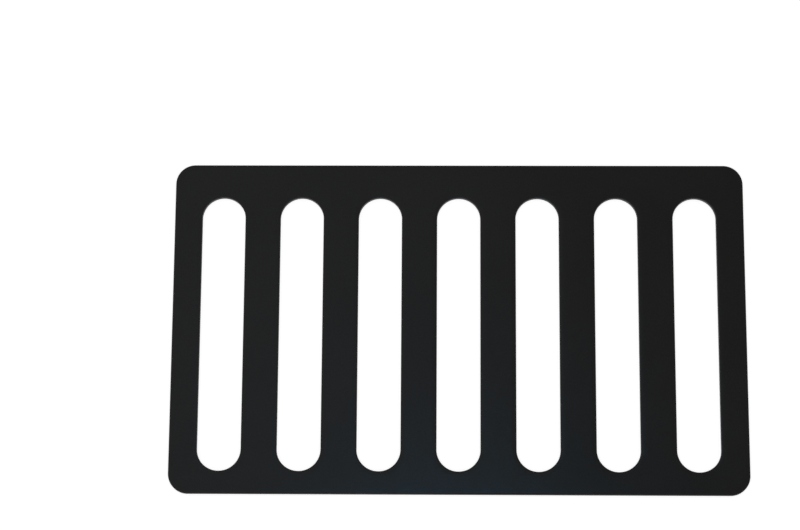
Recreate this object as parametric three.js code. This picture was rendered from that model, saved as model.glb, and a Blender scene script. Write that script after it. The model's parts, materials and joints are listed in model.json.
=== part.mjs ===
// Small queen excluder: one flat plate, cut from sheet in a single piece, with a row of round-ended slots.
// Worker bees pass through the slots and the wider queen does not.
//
// Units are millimetres. The plate lies flat, +Z up, its underside on Z = 0.
// The origin is the middle of the underside. +X runs along the row of slots, and the slots run along Y.
// The rail at +Y is the wide one.
import * as THREE from "three";

// Driving dimensions
const SLOT_COUNT = 7;
const SLOT_WIDTH = 4.2; // the bee gap, which every other size is worked out from
const SLOT_LENGTH = 26.9; // end to end, round ends included
const BAR_WIDTH = 3.45; // between two slots
const END_MARGIN = 2.7; // from the first or last slot to the plate's short edge
const WIDE_RAIL = 3.3; // from the slots' ends to the long edge at +Y
const NARROW_RAIL = 2.2; // from the slots' ends to the long edge at -Y
const CORNER_RADIUS = 1.9;
const THICKNESS = 0.5;
const EDGE_BREAK = 0.08; // the small bevel around every edge, outside and in the slots
const ARC_STEPS = 18; // straight steps in each quarter turn, an even number

// Sizes that follow from them
const SLOT_PITCH = SLOT_WIDTH + BAR_WIDTH;
const PLATE_LENGTH = SLOT_COUNT * SLOT_WIDTH + (SLOT_COUNT - 1) * BAR_WIDTH + 2 * END_MARGIN;
const PLATE_DEPTH = NARROW_RAIL + SLOT_LENGTH + WIDE_RAIL;
const SLOT_CENTRE_Y = (NARROW_RAIL - WIDE_RAIL) / 2;

// The plate's outline, a rectangle with rounded corners, run anticlockwise.
function plateOutline() {
  const x = PLATE_LENGTH / 2;
  const y = PLATE_DEPTH / 2;
  const r = CORNER_RADIUS;
  const outline = new THREE.Shape();
  outline.moveTo(-x + r, -y);
  outline.lineTo(x - r, -y);
  outline.absarc(x - r, -y + r, r, -Math.PI / 2, 0);
  outline.absarc(x - r, y - r, r, 0, Math.PI / 2);
  outline.absarc(-x + r, y - r, r, Math.PI / 2, Math.PI);
  outline.absarc(-x + r, -y + r, r, Math.PI, (3 * Math.PI) / 2);
  return outline;
}

// One slot, a straight run with a half circle at each end, centred on (centreX, SLOT_CENTRE_Y).
function slotOutline(centreX) {
  const r = SLOT_WIDTH / 2;
  const arcCentre = SLOT_LENGTH / 2 - r;
  const slot = new THREE.Path();
  slot.absarc(centreX, SLOT_CENTRE_Y + arcCentre, r, 0, Math.PI / 2);
  slot.absarc(centreX, SLOT_CENTRE_Y + arcCentre, r, Math.PI / 2, Math.PI);
  slot.absarc(centreX, SLOT_CENTRE_Y - arcCentre, r, Math.PI, (3 * Math.PI) / 2);
  slot.absarc(centreX, SLOT_CENTRE_Y - arcCentre, r, (3 * Math.PI) / 2, 2 * Math.PI);
  slot.closePath();
  return slot;
}

// The plate: the outline less the slots, pushed through the sheet's thickness, with its edges broken.
function slottedPlate() {
  const outline = plateOutline();
  for (let n = 0; n < SLOT_COUNT; n += 1) {
    const centreX = (n - (SLOT_COUNT - 1) / 2) * SLOT_PITCH;
    outline.holes.push(slotOutline(centreX));
  }
  const geometry = new THREE.ExtrudeGeometry(outline, {
    depth: THICKNESS - 2 * EDGE_BREAK,
    curveSegments: ARC_STEPS / 2, // three.js doubles this on an arc
    bevelEnabled: true,
    bevelThickness: EDGE_BREAK,
    bevelSize: EDGE_BREAK,
    bevelOffset: -EDGE_BREAK,
    bevelSegments: 1,
  });
  const blackPlastic = new THREE.MeshStandardMaterial({
    color: 0x222222,
    roughness: 0.45,
    metalness: 0,
  });
  const plate = new THREE.Mesh(geometry, blackPlastic);
  plate.name = "slotted_plate";
  plate.position.z = EDGE_BREAK; // the extrusion starts one bevel below its own zero
  return plate;
}

const queenExcluder = new THREE.Group();
queenExcluder.add(slottedPlate());

export default queenExcluder;
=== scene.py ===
"""The looks of the small queen excluder: one black slotted plate lying on a pale studio floor.

Everything is in metres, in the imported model's frame: +X runs along the row of slots, the slots run along Y,
the wide rail is at +Y, and the plate's underside is on Z = 0.
The plate is drawn again here with finely rounded slots and soft punched edges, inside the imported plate's box.
"""

import json
import math

import bmesh
import bpy
from mathutils import Matrix, Vector


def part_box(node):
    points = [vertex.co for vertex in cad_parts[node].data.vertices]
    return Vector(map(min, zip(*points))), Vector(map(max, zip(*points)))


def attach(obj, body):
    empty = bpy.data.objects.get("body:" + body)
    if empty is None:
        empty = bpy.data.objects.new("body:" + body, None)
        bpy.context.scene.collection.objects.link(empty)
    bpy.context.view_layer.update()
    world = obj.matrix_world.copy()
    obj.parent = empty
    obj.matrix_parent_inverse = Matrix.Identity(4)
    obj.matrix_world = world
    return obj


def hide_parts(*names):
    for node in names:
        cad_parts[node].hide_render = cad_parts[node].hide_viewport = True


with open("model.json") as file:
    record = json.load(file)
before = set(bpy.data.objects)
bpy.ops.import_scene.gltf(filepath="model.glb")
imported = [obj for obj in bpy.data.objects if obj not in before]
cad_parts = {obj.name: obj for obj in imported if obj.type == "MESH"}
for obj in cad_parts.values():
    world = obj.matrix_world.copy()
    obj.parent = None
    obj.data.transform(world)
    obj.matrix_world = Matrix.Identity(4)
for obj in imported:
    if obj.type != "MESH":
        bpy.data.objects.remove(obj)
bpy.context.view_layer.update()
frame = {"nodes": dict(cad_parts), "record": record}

MM = 0.001
PLATE_NODE = "slotted_plate"

# The plate's edges, as a punch could leave them
ARC_STEPS = 20  # straight steps in each quarter turn of an outline
ROLL_WIDTH = 0.55 * MM  # how far in from an edge the upper face starts to dip
ROLL_DEPTH = 0.012 * MM  # how far it has dipped where the rounding starts
ROLL_STEPS = 5
TOP_ROUND = 0.08 * MM  # radius of the upper edges
BOTTOM_ROUND = 0.045 * MM  # radius of the lower edges
ROUND_STEPS = 5
SAME_POINT = 1e-6 * MM  # two outline points closer than this are one

# The camera, placed from the middle of the plate's underside
CAMERA_AZIMUTH = 5.148  # degrees, 0 looks along +Y
CAMERA_ELEVATION = 77.073
CAMERA_ROLL = -4.895
CAMERA_AIM = Vector((-5.714, 6.272, 0)) * MM
CAMERA_DISTANCE = 226.89 * MM
CAMERA_LENS = 104.757  # on a sensor 36 wide

# The studio
FLOOR_RADIUS = 2.5
FLOOR_GAP = 0.01 * MM  # keeps the floor off the plate's underside
FLOOR_WHITE = 0.5
FLOOR_GLOW = 0.86
FLOOR_ROUGHNESS = 0.9
FLOOR_GLOSS = 0.2
FLOOR_SEGMENTS = 96
# How bright the studio is from the horizon to straight up, by the sine of the angle.
# It is a ring of soft light round the plate, with a dark opening overhead.
STUDIO_STOPS = (
    (0.00, 0.30),
    (0.28, 0.28),
    (0.36, 0.60),
    (0.80, 0.60),
    (0.84, 0.03),
)
LIGHT_DISTANCE = 0.5
SIDE_AZIMUTH = -99  # degrees, the broad light at the plate's left
SIDE_ELEVATION = 68
SIDE_SIZE = 0.40
SIDE_POWER = 0.0659
SIDE_COLOR = (0.817, 0.908, 1.0)
SKY_AZIMUTH = 180  # degrees, the small blue light almost straight above
SKY_ELEVATION = 87.6
SKY_SIZE = 0.03
SKY_POWER = 0.01123
SKY_COLOR = (0.051, 0.563, 1.0)

# Black plastic. Sizes are in metres.
PLASTIC_LEVEL = 0.0255  # how much light the black itself gives back
PLASTIC_TINT = (1.035, 1.0, 0.97)
PLASTIC_IOR = 1.5
FACE_ROUGHNESS = 0.19
GRAIN_SIZE = 0.16 * MM
GRAIN_HEIGHT = 0.006 * MM
PORE_SIZE = 0.05 * MM
CLOUD_SIZE = 9 * MM
PATCH_SIZE = 2.5 * MM
WAVE_SIZE = 16 * MM
WAVE_HEIGHT = 0.012 * MM
SCUFF_ANGLES = (18, 74, 131)  # degrees
SCUFF_LENGTH = 12 * MM
SCUFF_WIDTH = 0.09 * MM
STREAK_WIDTH = 0.06 * MM  # the vertical marks on a cut wall
TORN_SHARE = 0.41  # how far up a cut wall its torn part reaches, as a share of the thickness
TORN_BLUR = 0.05
TORN_WANDER = 0.12  # how much that line wanders
CUT_ROUGHNESS = 0.6
TORN_ROUGHNESS = 0.85


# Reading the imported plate

def plate_vertices():
    return [vertex.co.copy() for vertex in frame["nodes"][PLATE_NODE].data.vertices]


def slot_centres():
    """The middle of each stated slot opening, from -X to +X."""
    openings = frame["record"]["physics"]["openings"]
    boxes = [(Vector(o["box_m"][0]), Vector(o["box_m"][1])) for o in openings]
    return sorted(((low + high) / 2 for low, high in boxes), key=lambda centre: centre.x)


def slot_size(centre, pitch, vertices, high):
    """Half the width and half the length of the slot round a centre, measured on its upright wall."""
    inside = [v for v in vertices if abs(v.x - centre.x) < pitch / 2 and abs(v.y) < high.y - 0.5 * MM]
    mid = [v for v in inside if abs(v.z - high.z / 2) < high.z * 0.4]
    half_width = max(abs(v.x - centre.x) for v in mid)
    half_length = max(abs(v.y - centre.y) for v in mid)
    return half_width, half_length


def corner_radius(vertices, high):
    run_end = max(v.x for v in vertices if v.y > high.y - 0.001 * MM)
    return high.x - run_end


# Outlines. Each is a closed anticlockwise list of (x, y) points, with as many points at any offset.

def rounded_outline(centre, half_x, half_y, radius):
    """A rectangle with rounded corners. With the radius equal to half_x it is a slot with round ends.

    A slot's two arcs share their middle point, which is kept once."""
    points = []
    for quarter in range(4):
        side_x = 1 if quarter in (0, 3) else -1
        side_y = 1 if quarter in (0, 1) else -1
        arc_x = centre.x + side_x * (half_x - radius)
        arc_y = centre.y + side_y * (half_y - radius)
        for step in range(ARC_STEPS + 1):
            angle = (quarter + step / ARC_STEPS) * math.pi / 2
            point = (arc_x + radius * math.cos(angle), arc_y + radius * math.sin(angle))
            if not points or math.dist(points[-1], point) > SAME_POINT:
                points.append(point)
    return points


def edge_profile(thickness):
    """The plate's edge in section, from the upper face over the wall to the lower face.

    Each point is (how far into the material, height)."""
    profile = []
    for step in range(ROLL_STEPS + 1):
        share = step / ROLL_STEPS
        inset = ROLL_WIDTH + (TOP_ROUND - ROLL_WIDTH) * share
        profile.append((inset, thickness - ROLL_DEPTH * share ** 2))
    wall_top = thickness - ROLL_DEPTH
    for step in range(1, ROUND_STEPS + 1):
        angle = step / ROUND_STEPS * math.pi / 2
        inset = TOP_ROUND * (1 - math.sin(angle))
        profile.append((inset, wall_top - TOP_ROUND * (1 - math.cos(angle))))
    for step in range(ROUND_STEPS + 1):
        angle = step / ROUND_STEPS * math.pi / 2
        inset = BOTTOM_ROUND * (1 - math.cos(angle))
        profile.append((inset, BOTTOM_ROUND * (1 - math.sin(angle))))
    profile.append((ROLL_WIDTH, 0.0))  # a flat band, so that the underside shades flat up to its edge
    return profile


def plate_mesh():
    low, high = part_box(PLATE_NODE)
    vertices = plate_vertices()
    centres = slot_centres()
    pitch = centres[1].x - centres[0].x
    radius = corner_radius(vertices, high)
    profile = edge_profile(high.z - low.z)
    middle = (low + high) / 2
    half = (high - low) / 2

    mesh = bmesh.new()

    def add_edge(outline_at):
        """Sweeps the edge profile round an outline, and gives back its rings on the upper and lower face."""
        rings = []
        for inset, height in profile:
            rings.append([mesh.verts.new((x, y, low.z + height)) for x, y in outline_at(inset)])
        for upper, lower in zip(rings, rings[1:]):
            for n in range(len(upper)):
                m = (n + 1) % len(upper)
                mesh.faces.new((upper[n], upper[m], lower[m], lower[n]))
        return rings[0], rings[-1]

    def plate_outline(inset):
        return rounded_outline(middle, half.x - inset, half.y - inset, radius - inset)

    ends = [add_edge(plate_outline)]
    for centre in centres:
        half_width, half_length = slot_size(centre, pitch, vertices, high)

        def slot_outline(inset):
            width = half_width + inset
            return rounded_outline(centre, width, half_length + inset, width)

        ends.append(add_edge(slot_outline))

    for side in (0, 1):
        edges = []
        for pair in ends:
            ring = pair[side]
            for n in range(len(ring)):
                edges.append(mesh.edges.get((ring[n], ring[(n + 1) % len(ring)])))
        bmesh.ops.triangle_fill(mesh, use_beauty=True, use_dissolve=False, edges=edges)

    bmesh.ops.recalc_face_normals(mesh, faces=mesh.faces)
    data = bpy.data.meshes.new("excluder_plate")
    mesh.to_mesh(data)
    mesh.free()
    return data


def make_plate(material):
    data = plate_mesh()
    data.materials.append(material)
    for polygon in data.polygons:
        polygon.use_smooth = True
    plate = bpy.data.objects.new("excluder_plate", data)
    bpy.context.scene.collection.objects.link(plate)
    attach(plate, "root")
    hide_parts(PLATE_NODE)
    return plate


# Materials

class Graph:
    """A material's nodes, with short ways to add the few kinds that are used here."""

    def __init__(self, name):
        self.material = bpy.data.materials.new(name)
        self.material.use_nodes = True
        self.nodes = self.material.node_tree.nodes
        self.links = self.material.node_tree.links
        self.shader = self.nodes["Principled BSDF"]
        self.places = self.nodes.new("ShaderNodeTexCoord")

    def feed(self, socket, value):
        if isinstance(value, bpy.types.NodeSocket):
            self.links.new(value, socket)
        else:
            socket.default_value = value

    def math(self, operation, *values):
        node = self.nodes.new("ShaderNodeMath")
        node.operation = operation
        for socket, value in zip(node.inputs, values):
            self.feed(socket, value)
        return node.outputs[0]

    def spread(self, value, from_low, from_high, to_low, to_high):
        """Maps a range onto another and clamps it, with smooth ends."""
        node = self.nodes.new("ShaderNodeMapRange")
        node.interpolation_type = "SMOOTHSTEP"
        for socket, number in zip(node.inputs, (value, from_low, from_high, to_low, to_high)):
            self.feed(socket, number)
        return node.outputs[0]

    def noise(self, size, detail=2.0, rough=0.5, turn=0.0, seed=0.0):
        """Noise whose features are about size metres across: one length, or one for each axis."""
        sizes = size if isinstance(size, tuple) else (size, size, size)
        mapping = self.nodes.new("ShaderNodeMapping")
        mapping.vector_type = "TEXTURE"
        mapping.inputs["Location"].default_value = (seed, seed, seed)
        mapping.inputs["Rotation"].default_value = (0, 0, turn)
        mapping.inputs["Scale"].default_value = sizes
        self.links.new(self.places.outputs["Object"], mapping.inputs["Vector"])
        node = self.nodes.new("ShaderNodeTexNoise")
        node.inputs["Scale"].default_value = 1.0
        node.inputs["Detail"].default_value = detail
        node.inputs["Roughness"].default_value = rough
        self.links.new(mapping.outputs[0], node.inputs["Vector"])
        return node.outputs["Fac"]

    def blend(self, share, low, high):
        """low where share is 0 and high where it is 1."""
        node = self.nodes.new("ShaderNodeMix")
        node.data_type = "FLOAT"
        for socket, value in zip(node.inputs[:1] + node.inputs[2:4], (share, low, high)):
            self.feed(socket, value)
        return node.outputs[0]

    def grey(self, level):
        """A near-neutral colour of that level, with the plastic's slightly warm tint."""
        node = self.nodes.new("ShaderNodeCombineColor")
        for socket, tint in zip(node.inputs, PLASTIC_TINT):
            self.links.new(self.math("MULTIPLY", level, tint), socket)
        return node.outputs[0]

    def bump(self, height, distance, under=None):
        node = self.nodes.new("ShaderNodeBump")
        node.inputs["Distance"].default_value = distance
        self.links.new(height, node.inputs["Height"])
        if under is not None:
            self.links.new(under, node.inputs["Normal"])
        return node.outputs[0]


def plastic_material():
    """Satin black sheet plastic: fine grain on both faces, rubbed edges, and walls with cut marks."""
    graph = Graph("black_plastic")
    low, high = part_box(PLATE_NODE)

    facing = graph.nodes.new("ShaderNodeSeparateXYZ")
    graph.links.new(graph.places.outputs["Normal"], facing.inputs[0])
    upright = graph.math("ABSOLUTE", facing.outputs["Z"])
    wall = graph.spread(upright, 0.25, 0.6, 1.0, 0.0)
    off_face = graph.spread(upright, 0.9, 0.99, 1.0, 0.0)
    rubbed = graph.math("MULTIPLY", off_face, graph.math("SUBTRACT", 1.0, wall))

    grain = graph.noise(GRAIN_SIZE, detail=3.0, rough=0.6)
    pores = graph.noise(PORE_SIZE, detail=2.0, seed=0.3)
    clouds = graph.noise(CLOUD_SIZE, detail=3.0, seed=0.7)
    patches = graph.noise(PATCH_SIZE, detail=4.0, rough=0.6, seed=1.1)
    waves = graph.noise(WAVE_SIZE, detail=1.0, seed=1.9)

    scuffs = None
    for number, angle in enumerate(SCUFF_ANGLES):
        stretch = (SCUFF_LENGTH, SCUFF_WIDTH, SCUFF_LENGTH)
        lines = graph.noise(stretch, turn=math.radians(angle), seed=0.11 * number)
        lines = graph.spread(lines, 0.68, 0.74, 0.0, 1.0)
        scuffs = lines if scuffs is None else graph.math("MAXIMUM", scuffs, lines)
    scuffs = graph.math("MULTIPLY", scuffs, graph.spread(clouds, 0.4, 0.65, 0.0, 1.0))

    streaks = graph.noise((STREAK_WIDTH, STREAK_WIDTH, high.z * 4), detail=3.0, rough=0.6)
    height = graph.nodes.new("ShaderNodeSeparateXYZ")
    graph.links.new(graph.places.outputs["Object"], height.inputs[0])
    wander = graph.math("MULTIPLY", streaks, TORN_WANDER * high.z)
    torn_line = graph.math("ADD", height.outputs["Z"], wander)
    torn_low = (TORN_SHARE - TORN_BLUR) * high.z
    torn_high = (TORN_SHARE + TORN_BLUR) * high.z
    torn = graph.spread(torn_line, torn_low, torn_high, 1.0, 0.0)

    level = graph.spread(clouds, 0.3, 0.7, 0.96 * PLASTIC_LEVEL, 1.04 * PLASTIC_LEVEL)
    level = graph.math("MULTIPLY", level, graph.spread(grain, 0.3, 0.7, 0.94, 1.06))
    level = graph.blend(wall, level, graph.blend(torn, 0.8 * PLASTIC_LEVEL, 1.5 * PLASTIC_LEVEL))
    wear = graph.spread(patches, 0.35, 0.7, 1.0, 1.25)
    level = graph.math("MULTIPLY", level, graph.blend(rubbed, 1.0, wear))
    graph.links.new(graph.grey(level), graph.shader.inputs["Base Color"])

    rough = graph.spread(patches, 0.3, 0.7, FACE_ROUGHNESS - 0.012, FACE_ROUGHNESS + 0.012)
    rough = graph.math("ADD", rough, graph.spread(pores, 0.3, 0.7, -0.01, 0.01))
    rough = graph.math("ADD", rough, graph.math("MULTIPLY", scuffs, 0.03))
    rough = graph.blend(wall, rough, graph.blend(torn, CUT_ROUGHNESS, TORN_ROUGHNESS))
    rough = graph.math("SUBTRACT", rough, graph.math("MULTIPLY", rubbed, 0.04))
    graph.links.new(rough, graph.shader.inputs["Roughness"])

    relief = graph.math("ADD", grain, graph.math("MULTIPLY", pores, 0.35))
    relief = graph.math("SUBTRACT", relief, graph.math("MULTIPLY", scuffs, 0.3))
    relief = graph.blend(wall, relief, graph.math("MULTIPLY", streaks, graph.blend(torn, 1.0, 2.5)))
    wavy = graph.bump(waves, WAVE_HEIGHT)
    graph.links.new(graph.bump(relief, GRAIN_HEIGHT, under=wavy), graph.shader.inputs["Normal"])
    graph.shader.inputs["IOR"].default_value = PLASTIC_IOR
    return graph.material


def floor_material():
    """Matt board on a light table. Most of its white is its own glow, so it takes no shadow."""
    material = bpy.data.materials.new("floor_white")
    material.use_nodes = True
    shader = material.node_tree.nodes["Principled BSDF"]
    shader.inputs["Base Color"].default_value = (FLOOR_WHITE, FLOOR_WHITE, FLOOR_WHITE, 1)
    shader.inputs["Roughness"].default_value = FLOOR_ROUGHNESS
    shader.inputs["Specular IOR Level"].default_value = FLOOR_GLOSS
    shader.inputs["Emission Color"].default_value = (1, 1, 1, 1)
    shader.inputs["Emission Strength"].default_value = FLOOR_GLOW
    return material


# The studio

def direction(azimuth, elevation):
    """The unit vector from the plate towards a light or the camera, from two angles in degrees."""
    a = math.radians(azimuth)
    e = math.radians(elevation)
    return Vector((math.sin(a) * math.cos(e), -math.cos(a) * math.cos(e), math.sin(e)))


def make_floor():
    mesh = bmesh.new()
    bmesh.ops.create_circle(mesh, cap_ends=True, segments=FLOOR_SEGMENTS, radius=FLOOR_RADIUS)
    data = bpy.data.meshes.new("floor")
    mesh.to_mesh(data)
    mesh.free()
    data.materials.append(floor_material())
    floor = bpy.data.objects.new("floor", data)
    floor.location.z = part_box(PLATE_NODE)[0].z - FLOOR_GAP
    bpy.context.scene.collection.objects.link(floor)


def make_world():
    world = bpy.data.worlds.new("studio")
    bpy.context.scene.world = world
    world.use_nodes = True
    nodes = world.node_tree.nodes
    links = world.node_tree.links
    background = nodes["Background"]
    coordinates = nodes.new("ShaderNodeTexCoord")
    split = nodes.new("ShaderNodeSeparateXYZ")
    ramp = nodes.new("ShaderNodeValToRGB")
    links.new(coordinates.outputs["Generated"], split.inputs[0])
    links.new(split.outputs["Z"], ramp.inputs["Fac"])
    links.new(ramp.outputs["Color"], background.inputs["Color"])
    elements = ramp.color_ramp.elements
    while len(elements) < len(STUDIO_STOPS):
        elements.new(1.0)
    for element, (place, level) in zip(elements, STUDIO_STOPS):
        element.position = place
        element.color = (level, level, level, 1)


def make_light(name, azimuth, elevation, size, power, color):
    """A square soft light aimed at the plate. Azimuth 0 stands at -Y, on the camera's side, and 90 at +X."""
    light = bpy.data.lights.new(name, "AREA")
    light.shape = "SQUARE"
    light.size = size
    light.energy = power
    light.color = color
    lamp = bpy.data.objects.new(name, light)
    back = direction(azimuth, elevation)
    lamp.location = back * LIGHT_DISTANCE
    lamp.rotation_euler = back.to_track_quat("Z", "Y").to_euler()
    bpy.context.scene.collection.objects.link(lamp)


def make_camera():
    camera = bpy.data.cameras.new("camera")
    camera.sensor_width = 36
    camera.lens = CAMERA_LENS
    camera.clip_start = 0.01
    camera.clip_end = 10
    camera.dof.use_dof = False
    back = direction(CAMERA_AZIMUTH, CAMERA_ELEVATION)
    turn = math.radians(CAMERA_AZIMUTH)
    roll = math.radians(CAMERA_ROLL)
    right = Vector((math.cos(turn), math.sin(turn), 0))
    up = back.cross(right)
    turned_right = right * math.cos(roll) + up * math.sin(roll)
    turned_up = up * math.cos(roll) - right * math.sin(roll)
    low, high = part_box(PLATE_NODE)
    origin = Vector(((low.x + high.x) / 2, (low.y + high.y) / 2, low.z))
    eye = origin + CAMERA_AIM + back * CAMERA_DISTANCE
    axes = Matrix((turned_right, turned_up, back)).transposed()
    camera_object = bpy.data.objects.new("camera", camera)
    camera_object.matrix_world = Matrix.Translation(eye) @ axes.to_4x4()
    bpy.context.scene.collection.objects.link(camera_object)
    bpy.context.scene.camera = camera_object


make_camera()
make_plate(plastic_material())
make_floor()
make_world()
make_light("side_softbox", SIDE_AZIMUTH, SIDE_ELEVATION, SIDE_SIZE, SIDE_POWER, SIDE_COLOR)
make_light("overhead_sky", SKY_AZIMUTH, SKY_ELEVATION, SKY_SIZE, SKY_POWER, SKY_COLOR)
bpy.context.scene.view_settings.view_transform = "Standard"
